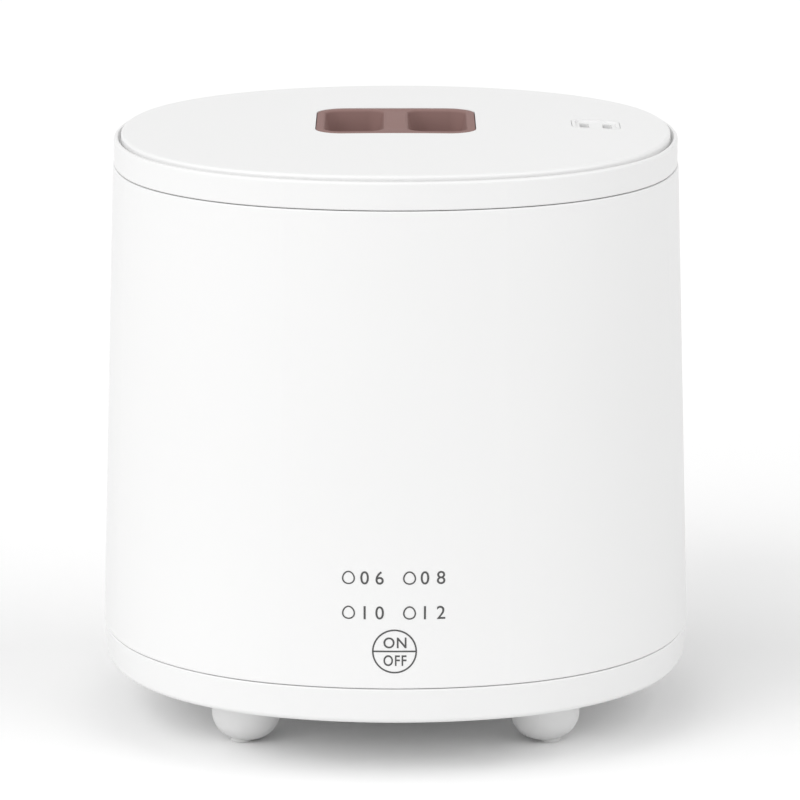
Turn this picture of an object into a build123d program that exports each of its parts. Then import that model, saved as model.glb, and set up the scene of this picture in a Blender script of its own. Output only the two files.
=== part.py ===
from build123d import *
import os
from math import asin, atan, cos, degrees, radians, sin, sqrt

# Electric egg cooker: a squared-round white housing on four rounded feet, with a lift-off lid.
# Inside are a round steam chamber with a heating plate, an egg rack, a bowl and a measuring cup.
# Millimetres. The origin is on the surface it stands on, under its centre. The front is -Y.

os.makedirs("parts", exist_ok=True)

# Housing outline, seen from above
body_half_width = 80.3        # at the lower seam
body_narrowing = 3.78         # how much less the half width is at the lid
lid_inset = 0.3               # the lid's side inside the body's at the lid seam
side_radius = 101.5           # gentle curve of the four sides
corner_radius = 69.3          # rounder curve of the four corners

# Housing heights
foot_height = 15.5            # floor to the underside of the base
base_depth = 9.65             # underside of the base to the lower seam
body_height = 125.92          # lower seam to the lid seam
lid_wall_height = 7.6         # lid seam to the lip of the lid ring
plate_step = 1.33             # top plate's edge above the lip
plate_crown = 2.4             # rise of the domed top plate from its edge to its middle

# Walls, seams and edges
housing_wall = 2.4
base_floor = 2.2
seam_gap = 0.2
edge_round = 0.4
base_draft = 5.5              # degrees
base_edge_radius = 1.6
base_inner_radius = 1.2
tongue_height = 3.0           # of the base's tongue above the lower seam
tongue_wall = 1.6
air_slot_width = 3.0
air_slot_length = 22.0
air_slot_pitch = 7.0
air_slot_offset = 34.0        # in front of the centre
air_slot_count = 5
fit_gap = 0.15                # between pieces that are fixed together
screw_radius = 1.5
screw_head_radius = 2.8
screw_head_height = 1.8

# Feet
foot_spacing = 83.2           # sole to sole, left to right and front to back
foot_lean = 3.4               # how much nearer the centre planes a foot's top is
foot_radius = 8.6
foot_top_radius = 10.6
foot_round = 7.2
foot_blend = 7.0              # between a foot and the underside
pad_radius = 2.9
pad_stand_off = 0.6
pad_length = 3.6
foot_screw_seat = 9.0         # height of the screw's seat inside the foot

# Steam chamber and the carrier under it
chamber_room = 8.32           # between the shell's inner face at the lid seam and the chamber
chamber_wall = 1.8
chamber_floor_height = 16.05  # above the lower seam
flange_thickness = 1.8
mouth_step = 2.0              # how much wider the mouth is than the chamber
mouth_depth = 5.75
ledge_width = 2.4
post_radius = 4.2
post_screw_grip = 2.0         # the screws' tips above the lower seam
carrier_lip_height = 2.4
carrier_lip_wall = 1.4

# Heating plate and what hangs under it
plate_gap = 4.0               # round the plate, inside the chamber
plate_thickness = 1.5
plate_rim_height = 5.3
spreader_height = 5.0
spreader_gap = 2.0            # round the spreader, inside the carrier's opening
seal_thickness = 1.7
seal_width = 11.0
seal_setback = 1.0            # the seal's inner edge from the carrier's opening
seal_inset = 2.0              # the seal's outer edge inside the plate's
clamp_lip = 4.0               # the clamp ring's reach inside its circle of screws
clamp_gap = 0.5               # between the clamp ring and the carrier's posts
clamp_thickness = 1.6
clamp_screw_inset = 4.0       # from the spreader's edge to the clamp screws
clamp_screw_grip = 3.2
element_inset = 16.0          # from the spreader's edge to the element's axis
element_radius = 3.3
element_gap_angle = 40.0
element_leg = 7.0
thermostat_radius = 8.0
thermostat_height = 8.0
thermostat_collar = 1.3
collar_width = 1.5
spade_length = 5.0
spade_width = 6.3
spade_thickness = 0.8
spade_spacing = 9.0
bracket_length = 34.0
bracket_width = 20.0
bracket_corner = 4.0
bracket_thickness = 1.2
bracket_screw_inset = 4.0
sensor_offset = 13.5          # behind the centre
sensor_radius = 2.5
sensor_height = 7.0
fuse_offset = 13.5            # in front of the centre
fuse_radius = 2.0
fuse_length = 12.0
fuse_hang = 2.2               # the fuse's axis under the spreader

# Lid
liner_thickness = 1.8
liner_floor_depth = 3.0       # underside of the lid's plug below the lid seam
plug_gap = 0.5                # round the plug, inside the chamber's mouth
lid_seal_height = 1.4
lid_seal_width = 5.0
top_plate_thickness = 2.2
top_plate_edge = 2.7          # height of the top plate's edge
top_plate_round = 0.8
top_plate_gap = 0.95          # groove between the top plate and the lip
groove_foot = 0.3             # width of the groove at its bottom
lip_width = 1.0
lip_round = 0.7
lid_post_radius = 3.6
lid_post_spacing = 72.0

# Grip
grip_width = 42.9
grip_length = 41.5
grip_corner = 7.5
grip_rim = 2.4
grip_bar = 6.7
grip_end_rim = 3.4
pocket_corner = 4.6
pocket_depth = 8.2
pocket_round = 2.0
grip_floor = 1.4
grip_flange = 3.0             # reach of the grip's flange under the top plate
grip_flange_height = 2.0

# Steam vent
vent_setback = 22.1           # from the lid's right side to the middle of the vent
vent_width = 12.9
vent_length = 15.0
vent_body_height = 6.0
vent_corner = 3.4
vent_recess = 0.5
vent_rim = 0.9
slot_width = 2.6
slot_length = 6.4
slot_corner = 0.6
slot_spacing = 6.2
vent_tube_radius = 5.4
vent_tube_wall = 0.9
vent_tube_overhang = 0.6      # under the liner
grommet_width = 2.0
grommet_height = 2.0

# Egg rack
rack_height = 21.0            # underside of the tray above the heating plate
rack_gap = 1.8                # round the rack, inside the chamber
rack_thickness = 2.0
rack_rim_height = 4.5
rack_rim_width = 1.8
egg_hole_radius = 16.5
egg_hole_inset = 7.7          # from the rack's edge to the egg holes
egg_count = 5
rack_leg_radius = 3.0
rack_leg_inset = 8.2          # from the rack's edge to the middle of a leg
rack_centre_hole = 9.0

# Steaming bowl
bowl_gap = 7.0                # round the bowl, inside the chamber
bowl_depth = 25.0
bowl_sheet = 1.0
bowl_round = 6.0
steam_hole_margin = 1.3       # from a steam hole to the bowl's wall and to the chamber's
steam_hole_count = 16

# Measuring cup with the piercing pin under it
cup_radius = 26.0
cup_height = 25.0
cup_wall = 1.4
cup_floor = 4.0
cup_draft = 3.0               # degrees
pin_well_radius = 5.0
pin_well_depth = 2.8
pin_radius = 0.6
pin_length = 2.2
pin_seat = 0.6
pin_point = 1.0
pin_tip_radius = 0.1

# Touch panel behind the front wall
touch_height = 10.18          # centre of the touch key above the lower seam
touch_offset = -0.3
touch_pad_radius = 5.4
label_height = 25.55          # centre of the four mode marks above the lower seam
panel_width = 46.0
panel_height = 36.0
panel_bottom = 3.85           # above the lower seam
panel_setback = 4.9           # from the inner face of the front wall to the board
panel_screw_inset = 3.4
board_thickness = 1.6
guide_width = 30.0
guide_height = 16.0
guide_depth = 2.6
guide_web = 1.2
led_size = 3.0
led_depth = 1.2
board_screw_radius = 1.2
board_screw_head = 2.3
board_screw_length = 5.0
board_post_radius = 2.7

# Power board on the floor of the base
board_length = 66.0
board_width = 48.0
board_offset = 21.0           # behind the centre
board_stand_off = 5.0
board_screw_inset = 4.0
board_corner = 1.5
component_round = 0.5
terminal_size = (12.0, 9.0, 9.0)
terminal_shift = (24.0, 12.0)  # from the board's middle, to the right and backwards
relay_size = (19.0, 15.4, 11.0)
relay_shift = (-16.5, 12.0)
capacitor_size = (18.0, 7.0, 11.0)
capacitor_shift = (3.0, 15.0)
buzzer_radius = 6.0
buzzer_mouth = 1.0
buzzer_height = 5.5
buzzer_shift = (-23.0, -9.0)

# Mains inlet at the back
inlet_width = 24.0
inlet_height = 13.0
inlet_depth = 16.0
inlet_level = 8.45            # centre of the socket above the lower seam
inlet_setback = 0.5           # from the outer face of the back wall
socket_width = 17.6
socket_height = 9.0
socket_depth = 13.0
inlet_pin_radius = 1.2
inlet_pin_spacing = 8.6
inlet_pin_length = 10.0
inlet_tab_length = 5.0
inlet_flange = 2.4
lead_radius = 1.1
lead_bend = 2.0
lead_rise = 4.2               # the leads' level above the power board
lead_straight = 7.0           # the mains leads' first and last runs
lead_stagger = 2.0            # between one mains lead and the other
heater_lead_run = 14.0        # the heater leads' run backwards from the element's legs
relay_tap = 2.5               # where a heater lead meets the relay, from its middle

# Levels that follow from the sizes above
base_floor_level = foot_height + base_floor
seam_level = foot_height + base_depth
foot_top_level = foot_height + base_floor / 2
lid_seam_level = seam_level + body_height
lip_level = lid_seam_level + lid_wall_height
plate_edge_level = lip_level + plate_step
top_level = plate_edge_level + plate_crown
chamber_floor_level = seam_level + chamber_floor_height
plate_under_level = chamber_floor_level + chamber_wall + seal_thickness
spreader_level = plate_under_level - spreader_height
plate_top_level = plate_under_level + plate_thickness
liner_top_level = lid_seam_level + lid_seal_height + liner_thickness
liner_under_level = lid_seam_level - liner_floor_depth
mouth_floor_level = lid_seam_level - mouth_depth
lead_level = base_floor_level + board_stand_off + board_thickness + lead_rise

# Widths that follow from the sizes above
lid_half_width = body_half_width - body_narrowing - lid_inset
top_plate_half = lid_half_width - lip_width - top_plate_gap
crown_radius = (top_plate_half ** 2 + plate_crown ** 2) / (2 * plate_crown)
chamber_outer = body_half_width - body_narrowing - housing_wall - chamber_room
chamber_radius = chamber_outer - chamber_wall
mouth_radius = chamber_radius + mouth_step
plug_radius = mouth_radius - plug_gap
plate_radius = chamber_radius - plate_gap
seal_outer_radius = plate_radius - seal_inset
seal_inner_radius = seal_outer_radius - seal_width
carrier_opening_radius = seal_inner_radius - seal_setback
spreader_radius = carrier_opening_radius - spreader_gap
element_circle = spreader_radius - element_inset
clamp_screw_circle = spreader_radius - clamp_screw_inset
clamp_inner_radius = clamp_screw_circle - clamp_lip
clamp_outer_radius = foot_spacing / sqrt(2) - post_radius - clamp_gap
rack_radius = chamber_radius - rack_gap
egg_hole_circle = rack_radius - egg_hole_inset - egg_hole_radius
rack_leg_circle = rack_radius - rack_leg_inset
bowl_radius = chamber_radius - bowl_gap
steam_hole_radius = bowl_gap / 2 - steam_hole_margin


def outline(half_width):
    """Squared-round plan of the housing: eight tangent arcs, offset from the lower seam's plan."""
    grow = half_width - body_half_width
    spread = side_radius - corner_radius
    turn = 45 + degrees(asin((body_half_width - side_radius) / (spread * sqrt(2))))
    reach = spread * sin(radians(turn))
    arcs = []
    for quarter in range(4):
        facing = 90 * quarter
        side_centre = Vector(body_half_width - side_radius, 0).rotate(Axis.Z, facing)
        corner_centre = Vector(reach, reach).rotate(Axis.Z, facing)
        arcs.append(CenterArc(side_centre, side_radius + grow, facing - turn, 2 * turn))
        arcs.append(CenterArc(corner_centre, corner_radius + grow, facing + turn, 90 - 2 * turn))
    return make_face(arcs)


def block(half_width, low, high, narrowing=0.0):
    """A solid with the housing's plan, narrower by narrowing at its top."""
    taper = degrees(atan(narrowing / (high - low)))
    return extrude(Pos(0, 0, low) * outline(half_width), amount=high - low, taper=taper)


def disc(radius, low, high, at=(0, 0)):
    """An upright round solid between two levels."""
    return Pos(at[0], at[1], (low + high) / 2) * Cylinder(radius, high - low)


def ring(outer, inner, low, high, at=(0, 0)):
    """An upright round ring between two levels."""
    return disc(outer, low, high, at) - disc(inner, low, high, at)


def brick(width, length, low, high, at=(0, 0)):
    """A box between two levels."""
    return Pos(at[0], at[1], (low + high) / 2) * Box(width, length, high - low)


def rounded(width, length, corner, low, high, at=(0, 0)):
    """A box with round upright corners between two levels."""
    face = Pos(at[0], at[1], low) * RectangleRounded(width, length, corner)
    return extrude(face, amount=high - low)


def across(radius, front, back, x, z):
    """A round solid that lies along Y, between two places on Y."""
    return Pos(x, (front + back) / 2, z) * Rot(90, 0, 0) * Cylinder(radius, back - front)


def crown(drop=0.0):
    """The large ball whose top is the domed face of the lid, or one parallel under it."""
    return Pos(0, 0, top_level - crown_radius) * Sphere(crown_radius - drop)


def body_half_at(level):
    """Half width of the outer shell at a level."""
    return body_half_width - body_narrowing * (level - seam_level) / body_height


def wall_reach(level, x, inset=0.0):
    """How far the shell's face, or one inset from it, is from the centre plane at x to one side."""
    radius = side_radius + body_half_at(level) - body_half_width - inset
    return body_half_width - side_radius + sqrt(radius ** 2 - x ** 2)


def four(spacing_x, spacing_y, centre=(0, 0)):
    """The corners of a rectangle."""
    return [(centre[0] + sx * spacing_x / 2, centre[1] + sy * spacing_y / 2)
            for sx in (-1, 1) for sy in (-1, 1)]


def on_circle(radius, count, first_angle):
    """Places evenly spaced on a circle."""
    angles = [radians(first_angle + 360 / count * i) for i in range(count)]
    return [(radius * cos(a), radius * sin(a)) for a in angles]


def screw_up(at, seat, tip, radius=screw_radius, head=screw_head_radius):
    """A screw put in from below, with its head under the seat."""
    return disc(radius, seat, tip, at) + disc(head, seat - screw_head_height, seat, at)


def save(shape, name):
    """Writes one node, as one solid or as a group of separate solids."""
    parts = shape if isinstance(shape, list) else [shape]
    solids = [solid for part in parts for solid in part.solids()]
    whole = solids[0] if len(solids) == 1 else Compound(children=solids)
    whole.label = name
    export_step(whole, "parts/" + name + ".step")


# Base with its feet

foot_places = four(foot_spacing, foot_spacing)
board_spread_x = board_length - 2 * board_screw_inset
board_spread_y = board_width - 2 * board_screw_inset
board_places = four(board_spread_x, board_spread_y, (0, board_offset))
board_level = base_floor_level + board_stand_off
board_top_level = board_level + board_thickness
inlet_centre_level = seam_level + inlet_level
inlet_face = body_half_at(inlet_centre_level) - inlet_setback
foot_top_spacing = foot_spacing - 2 * foot_lean
foot_tops = four(foot_top_spacing, foot_top_spacing)


def make_foot(sole, top):
    """A solid rounded foot that grows upwards and inwards into the floor of the base."""
    low = Pos(sole[0], sole[1], pad_stand_off) * Circle(foot_radius)
    high = Pos(top[0], top[1], foot_top_level) * Circle(foot_top_radius)
    foot = loft([low, high], ruled=True)
    return fillet(foot.edges().sort_by(Axis.Z)[0], foot_round)


def meets_foot(edge):
    """Whether an edge is the line where a foot meets the underside of the base."""
    size = edge.bounding_box()
    middle = size.center()
    beside = [abs(middle.X - x) + abs(middle.Y - y) < foot_top_radius / 2 for x, y in foot_tops]
    return abs(middle.Z - foot_height) < 0.1 and size.size.X < 3 * foot_top_radius and any(beside)


def make_base_shell():
    """The bottom casing: a shallow dish with four feet, a tongue for the shell and board posts."""
    top = seam_level - seam_gap / 2
    depth = top - foot_height
    base = extrude(Pos(0, 0, top) * outline(body_half_width), amount=-depth, taper=base_draft)
    base = fillet(base.faces().sort_by(Axis.Z)[0].edges(), base_edge_radius)
    base = fillet(base.faces().sort_by(Axis.Z)[-1].edges(), edge_round)
    for sole, foot_top in zip(foot_places, foot_tops):
        base += make_foot(sole, foot_top)
    base = fillet([edge for edge in base.edges() if meets_foot(edge)], foot_blend)
    hollow = extrude(Pos(0, 0, top) * outline(body_half_width - housing_wall),
                     amount=base_floor_level - top, taper=base_draft)
    base -= fillet(hollow.faces().sort_by(Axis.Z)[0].edges(), base_inner_radius)
    tongue_half = body_half_width - housing_wall - fit_gap
    tongue = block(tongue_half, top - tongue_height, seam_level + tongue_height)
    base += tongue - block(tongue_half - tongue_wall, top - tongue_height, seam_level + tongue_height)
    for place in board_places:
        base += disc(board_post_radius, base_floor_level, board_level, place)
        base -= disc(board_screw_radius, board_top_level - board_screw_length, board_level, place)
    cradle_top = inlet_centre_level - inlet_height / 2
    for side in (-1, 1):
        rib_x = side * inlet_width / 3
        rib_place = (rib_x, inlet_face - inlet_depth * 0.6)
        base += brick(tongue_wall, inlet_depth / 2, base_floor_level, cradle_top, rib_place)
    gap_width = inlet_width + 4 * inlet_flange
    base -= brick(gap_width, inlet_depth, top, seam_level + 2 * tongue_height, (0, inlet_face))
    for place in foot_places:
        base -= disc(pad_radius + fit_gap, 0, foot_screw_seat, place)
        base -= disc(screw_radius + fit_gap, foot_screw_seat, base_floor_level, place)
    for i in range(air_slot_count):
        slot_x = (i - (air_slot_count - 1) / 2) * air_slot_pitch
        base -= rounded(air_slot_width, air_slot_length, air_slot_width / 2 - 0.05,
                        foot_height - 1, base_floor_level + 1, (slot_x, -air_slot_offset))
    return base


save(make_base_shell(), "base_shell")
save([disc(pad_radius, 0, pad_length, place) for place in foot_places], "foot_pads")
post_screw_tip = seam_level + post_screw_grip
save([screw_up(place, foot_screw_seat, post_screw_tip) for place in foot_places], "base_screws")


# Outer shell, with the panel's bosses inside its front and the inlet's window at its back

panel_front = -(body_half_at(seam_level + panel_bottom) - housing_wall) + panel_setback
panel_back = panel_front + board_thickness
panel_low = seam_level + panel_bottom
panel_high = panel_low + panel_height
panel_mid = (panel_low + panel_high) / 2
panel_spread_x = panel_width - 2 * panel_screw_inset
panel_spread_z = panel_height - 2 * panel_screw_inset
panel_screws = four(panel_spread_x, panel_spread_z, (0, panel_mid))
flange_half = body_half_width - body_narrowing - housing_wall - fit_gap
flange_level = lid_seam_level - flange_thickness


def make_outer_shell():
    """The tall white shell, open at both ends, with a ledge near the top for the chamber."""
    low = seam_level + seam_gap / 2
    low_half = body_half_at(low)
    shell = block(low_half, low, lid_seam_level, low_half - body_half_at(lid_seam_level))
    shell = fillet(shell.faces().sort_by(Axis.Z)[0].edges(), edge_round)
    shell = fillet(shell.faces().sort_by(Axis.Z)[-1].edges(), edge_round)
    ledge_level = flange_level - ledge_width
    inner = block(low_half - housing_wall, low, ledge_level, low_half - body_half_at(ledge_level))
    shell -= inner
    shell -= block(flange_half + fit_gap - ledge_width, ledge_level - 1, flange_level + 1)
    shell -= block(flange_half + fit_gap, flange_level, lid_seam_level + 1)
    for x, z in panel_screws:
        shell += across(board_post_radius, -wall_reach(z, x, housing_wall / 2), panel_front, x, z)
        shell -= across(board_screw_radius, panel_back - board_screw_length, panel_front, x, z)
    window_height = inlet_height + 2 * fit_gap
    window_level = inlet_centre_level - window_height / 2
    window_top = window_level + window_height
    window_width = inlet_width + 2 * fit_gap
    return shell - brick(window_width, inlet_depth, window_level, window_top, (0, inlet_face))


save(make_outer_shell(), "outer_shell")


# Steam chamber and its carrier

carrier_top_level = chamber_floor_level + chamber_wall
carrier_lip_radius = chamber_radius - fit_gap


def make_cooking_chamber():
    """A round tube with a step in its mouth for the bowl and a wide flange that closes the shell."""
    mouth_wall_level = mouth_floor_level - chamber_wall
    chamber = disc(chamber_outer, carrier_top_level, mouth_wall_level + 0.1)
    chamber += disc(mouth_radius + chamber_wall, mouth_wall_level, lid_seam_level)
    chamber += block(flange_half, flange_level, lid_seam_level)
    chamber -= disc(chamber_radius, carrier_top_level, mouth_floor_level + 0.1)
    return chamber - disc(mouth_radius, mouth_floor_level, lid_seam_level)


def make_plate_carrier():
    """A ring under the chamber that holds the plate, with a lip for the tube and four posts."""
    carrier = disc(chamber_outer, chamber_floor_level, carrier_top_level)
    carrier += ring(carrier_lip_radius, carrier_lip_radius - carrier_lip_wall,
                    chamber_floor_level, carrier_top_level + carrier_lip_height)
    carrier -= disc(carrier_opening_radius, chamber_floor_level, carrier_top_level)
    carrier += ring(clamp_outer_radius, seal_inner_radius, spreader_level, chamber_floor_level + 0.1)
    for place in foot_places:
        carrier += disc(post_radius, base_floor_level, chamber_floor_level + chamber_wall / 2, place)
        carrier -= disc(screw_radius, base_floor_level, post_screw_tip, place)
    return carrier


save(make_cooking_chamber(), "cooking_chamber")
save(make_plate_carrier(), "plate_carrier")


# Heating plate, its seal and clamp ring

clamp_level = spreader_level - clamp_thickness
clamp_places = on_circle(clamp_screw_circle, 4, 0)
bracket_screw_reach = bracket_length / 2 - bracket_screw_inset
bracket_screw_places = [(-bracket_screw_reach, 0), (bracket_screw_reach, 0)]
bracket_level = spreader_level - thermostat_collar - bracket_thickness


def make_element():
    """A tubular element bent into an open ring, with its two ends turned down."""
    sweep_angle = 360 - element_gap_angle
    start = -90 + element_gap_angle / 2
    path = CenterArc((0, 0), element_circle, start, sweep_angle)
    section = Plane(origin=path @ 0, z_dir=path % 0) * Circle(element_radius)
    tube = Pos(0, 0, spreader_level) * sweep(section, path)
    for end in (path @ 0, path @ 1):
        tube += disc(element_radius, spreader_level - element_leg, spreader_level, (end.X, end.Y))
        tube += Pos(end.X, end.Y, spreader_level) * Sphere(element_radius)
    return tube


def make_heating_plate():
    """A pressed steel dish that holds the water."""
    plate = disc(plate_radius, plate_under_level, plate_under_level + plate_rim_height)
    return plate - disc(plate_radius - plate_thickness, plate_top_level, plate_under_level + plate_rim_height)


def make_heat_spreader():
    """A thick aluminium disc brazed under the plate, cast round the element."""
    spreader = disc(spreader_radius, spreader_level, plate_under_level)
    for place in bracket_screw_places:
        spreader += disc(screw_head_radius, bracket_level + bracket_thickness, spreader_level, place)
        spreader -= disc(screw_radius, bracket_level, spreader_level + clamp_screw_grip, place)
    for place in clamp_places:
        spreader -= disc(screw_radius, spreader_level, spreader_level + clamp_screw_grip, place)
    return spreader - make_element()


def make_clamp_ring():
    """A steel ring under the carrier that pulls the plate down on its seal."""
    clamp = ring(clamp_outer_radius, clamp_inner_radius, clamp_level, spreader_level)
    for place in clamp_places:
        clamp -= disc(screw_radius, clamp_level, spreader_level, place)
    return clamp


def make_thermostat():
    """A snap-disc thermostat with a collar and two spade terminals."""
    body = disc(thermostat_radius, spreader_level - thermostat_height, spreader_level)
    body += disc(thermostat_radius + collar_width, spreader_level - thermostat_collar, spreader_level)
    underside = spreader_level - thermostat_height
    for side in (-1, 1):
        spade_place = (side * spade_spacing / 2, 0)
        body += brick(spade_thickness, spade_width, underside - spade_length, underside + 0.5, spade_place)
    return body


def make_bracket():
    """The steel strap that holds the thermostat up against the spreader."""
    strap = rounded(bracket_length, bracket_width, bracket_corner,
                    bracket_level, bracket_level + bracket_thickness)
    strap -= disc(thermostat_radius + fit_gap, bracket_level, bracket_level + bracket_thickness)
    for place in bracket_screw_places:
        strap -= disc(screw_radius, bracket_level, bracket_level + bracket_thickness, place)
    return strap


save(make_element(), "heating_element")
save(make_heating_plate(), "heating_plate")
save(make_heat_spreader(), "heat_spreader")
save(ring(seal_outer_radius, seal_inner_radius, carrier_top_level, plate_under_level), "plate_seal")
save(make_clamp_ring(), "plate_clamp_ring")
plate_screw_tip = spreader_level + clamp_screw_grip
plate_screws = [screw_up(place, clamp_level, plate_screw_tip) for place in clamp_places]
plate_screws += [screw_up(place, bracket_level, plate_screw_tip) for place in bracket_screw_places]
save(plate_screws, "plate_screws")
save(make_thermostat(), "thermostat")
save(make_bracket(), "thermostat_bracket")
sensor = disc(sensor_radius, spreader_level - sensor_height, spreader_level, (0, sensor_offset))
save(sensor, "temperature_sensor")
fuse = Pos(0, -fuse_offset, spreader_level - fuse_hang) * Rot(0, 90, 0) * Cylinder(fuse_radius, fuse_length)
save(fuse, "thermal_fuse")


# Power board and what stands on it


def make_board(width, length, low, places):
    """A flat circuit board with its screw holes."""
    board = rounded(width, length, board_corner, low, low + board_thickness, (0, board_offset))
    for place in places:
        board -= disc(board_screw_radius, low, low + board_thickness, place)
    return board


def on_board(size, at):
    """A block-shaped component that stands on the power board."""
    shape = brick(size[0], size[1], board_top_level, board_top_level + size[2], at)
    return fillet(shape.faces().sort_by(Axis.Z)[-1].edges(), component_round)


def place_on_board(shift):
    """A place on the power board, from its middle."""
    return (shift[0], board_offset + shift[1])


terminal_place = place_on_board(terminal_shift)
relay_place = place_on_board(relay_shift)
buzzer_top_level = board_top_level + buzzer_height
buzzer = ring(buzzer_radius, buzzer_mouth, board_top_level, buzzer_top_level, place_on_board(buzzer_shift))
save(make_board(board_length, board_width, board_level, board_places), "power_board")
save(on_board(relay_size, relay_place), "relay")
save(on_board(capacitor_size, place_on_board(capacitor_shift)), "capacitor")
save(on_board(terminal_size, terminal_place), "terminal_block")
save(buzzer, "buzzer")


# Touch panel

guide_front = panel_front - guide_depth
guide_low = seam_level + label_height - guide_height / 2
led_places = [(sx * guide_width / 4, seam_level + label_height + sz * guide_height / 4)
              for sx in (-1, 1) for sz in (-1, 1)]
touch_level = seam_level + touch_height


def make_touch_board():
    """The upright board behind the front wall."""
    place = Pos(0, (panel_front + panel_back) / 2, panel_mid)
    board = place * Box(panel_width, board_thickness, panel_height)
    for x, z in panel_screws:
        board -= across(board_screw_radius, panel_front, panel_back, x, z)
    return board


def make_light_guide():
    """A grid of four cells that keeps each lamp's light behind its own mark."""
    middle = guide_low + guide_height / 2
    guide = Pos(0, (guide_front + panel_front) / 2, middle) * Box(guide_width, guide_depth, guide_height)
    for x, z in led_places:
        cell = Box(guide_width / 2 - 2 * guide_web, guide_depth, guide_height / 2 - 2 * guide_web)
        guide -= Pos(x, (guide_front + panel_front) / 2, z) * cell
    return guide


save(make_touch_board(), "touch_board")
save(make_light_guide(), "light_guide")
lamp = Box(led_size, led_depth, led_size / 2)
save([Pos(x, panel_front - led_depth / 2, z) * lamp for x, z in led_places], "mode_lamps")
touch_front = -(body_half_at(touch_level) - housing_wall) + 2 * fit_gap
save(across(touch_pad_radius, touch_front, panel_front, touch_offset, touch_level), "touch_pad")

board_screws = []
for x, y in board_places:
    head_level = board_top_level + screw_head_height
    shaft = disc(board_screw_radius, board_top_level - board_screw_length, board_top_level, (x, y))
    board_screws.append(shaft + disc(board_screw_head, board_top_level, head_level, (x, y)))
for x, z in panel_screws:
    shaft = across(board_screw_radius, panel_back - board_screw_length, panel_back, x, z)
    board_screws.append(shaft + across(board_screw_head, panel_back, panel_back + screw_head_height, x, z))
save(board_screws, "board_screws")


# Mains inlet

inlet_inner = inlet_face - inlet_depth
pin_places = [-inlet_pin_spacing / 2, inlet_pin_spacing / 2]
socket_floor = inlet_face - socket_depth


def inlet_pin(x):
    """One contact pin, which runs through the inlet's back wall to its solder tab."""
    inner_end = inlet_inner - inlet_tab_length
    return across(inlet_pin_radius, inner_end, socket_floor + inlet_pin_length, x, inlet_centre_level)


def make_power_inlet():
    """A recessed two-pin socket behind the window in the back wall."""
    low = inlet_centre_level - inlet_height / 2
    middle = (inlet_face + inlet_inner) / 2
    body = brick(inlet_width, inlet_depth, low, low + inlet_height, (0, middle))
    flange_width = inlet_width + 2 * inlet_flange
    flange_face = wall_reach(low + inlet_height, flange_width / 2, housing_wall) - fit_gap
    body += brick(flange_width, inlet_flange, low, low + inlet_height, (0, flange_face - inlet_flange / 2))
    mouth = Pos(0, inlet_face, inlet_centre_level) * Rot(90, 0, 0) * SlotOverall(socket_width, socket_height)
    body -= extrude(mouth, amount=socket_depth)
    for x in pin_places:
        body -= inlet_pin(x)
    return body


def make_lead(points):
    """One insulated lead along straight runs joined by tangent arcs."""
    path = FilletPolyline(*points, radius=lead_bend)
    section = Plane(origin=path @ 0, z_dir=path % 0) * Circle(lead_radius)
    return sweep(section, path)


def make_mains_lead(side):
    """From an inlet tab forward and across to the back of the terminal block."""
    start = (side * inlet_pin_spacing / 2, inlet_inner - inlet_tab_length, inlet_centre_level)
    forward = (start[0], start[1] - lead_straight + side * lead_stagger, inlet_centre_level)
    end_x = terminal_place[0] + side * terminal_size[0] / 4
    end = (end_x, terminal_place[1] + terminal_size[1] / 2, lead_level)
    behind = (end[0], end[1] + lead_straight + side * lead_stagger, lead_level)
    return make_lead([start, forward, behind, end])


def make_heater_lead(side, target):
    """From a leg of the element down and back to a component on the power board."""
    leg_angle = radians(-90 + side * element_gap_angle / 2)
    leg = (element_circle * cos(leg_angle), element_circle * sin(leg_angle))
    below = spreader_level - element_leg
    return make_lead([(leg[0], leg[1], below), (leg[0], leg[1], lead_level),
                      (target[0], leg[1] + heater_lead_run, lead_level), (target[0], target[1], lead_level)])


save(make_power_inlet(), "power_inlet")
save([inlet_pin(x) for x in pin_places], "inlet_pins")
save([make_mains_lead(side) for side in (-1, 1)], "mains_leads")
relay_front = (relay_place[0] + relay_tap, relay_place[1] - relay_size[1] / 2)
terminal_front = (terminal_place[0], terminal_place[1] - terminal_size[1] / 2)
save([make_heater_lead(-1, relay_front), make_heater_lead(1, terminal_front)], "heater_leads")


# Lid

liner_flange_half = lid_half_width - housing_wall + fit_gap
lid_post_places = four(lid_post_spacing, lid_post_spacing)
vent_place = (lid_half_width - vent_setback, 0)
vent_tube_level = liner_under_level - vent_tube_overhang
ledge_top_level = plate_edge_level - top_plate_edge
liner_floor_top = liner_under_level + liner_thickness


def make_lid_ring():
    """The lid's outer rim, with a ledge inside that carries the top plate."""
    low = lid_seam_level + seam_gap
    wall = block(lid_half_width, low, lip_level)
    wall = fillet(wall.faces().sort_by(Axis.Z)[-1].edges(), lip_round)
    wall = fillet(wall.faces().sort_by(Axis.Z)[0].edges(), edge_round)
    wall -= block(liner_flange_half + fit_gap, low, liner_top_level)
    wall -= block(liner_flange_half - ledge_width, low, lip_level)
    groove_low = top_plate_half + groove_foot
    groove_high = lid_half_width - lip_width
    return wall - block(groove_low, ledge_top_level, lip_level, groove_low - groove_high)


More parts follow.
